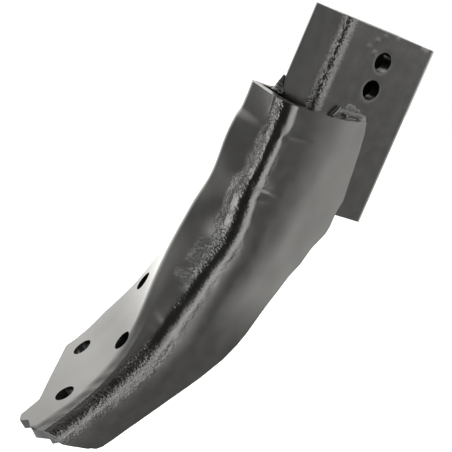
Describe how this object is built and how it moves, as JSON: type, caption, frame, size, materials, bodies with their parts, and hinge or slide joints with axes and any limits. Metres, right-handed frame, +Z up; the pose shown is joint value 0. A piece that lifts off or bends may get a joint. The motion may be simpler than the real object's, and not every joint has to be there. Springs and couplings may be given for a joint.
{
  "type": "plough frog",
  "caption": "Right-hand plough frog: a thick pressed shell that opens from a channel into a flared mouldboard and share seat, welded round a box-section leg with cross bolt holes.",
  "frame": {"origin": "midway between the two leg bolt holes, on the landside face of the leg", "axes": "+Z up along the leg, +X to the rear of the plough (travel is along -X), +Y towards the mouldboard side, so the landside faces -Y"},
  "size_m": [0.2225, 0.1126, 0.3997],
  "materials": {
    "shell_paint": "satin black",
    "leg_paint": "satin black",
    "weld_paint": "satin black"
  },
  "bodies": {
    "root": {"frog_shell": "shell_paint", "leg_tube": "leg_paint", "landside_rim_weld": "weld_paint", "landside_rear_weld": "weld_paint", "far_rim_weld": "weld_paint", "far_rear_weld": "weld_paint"}
  },
  "joints": []
}
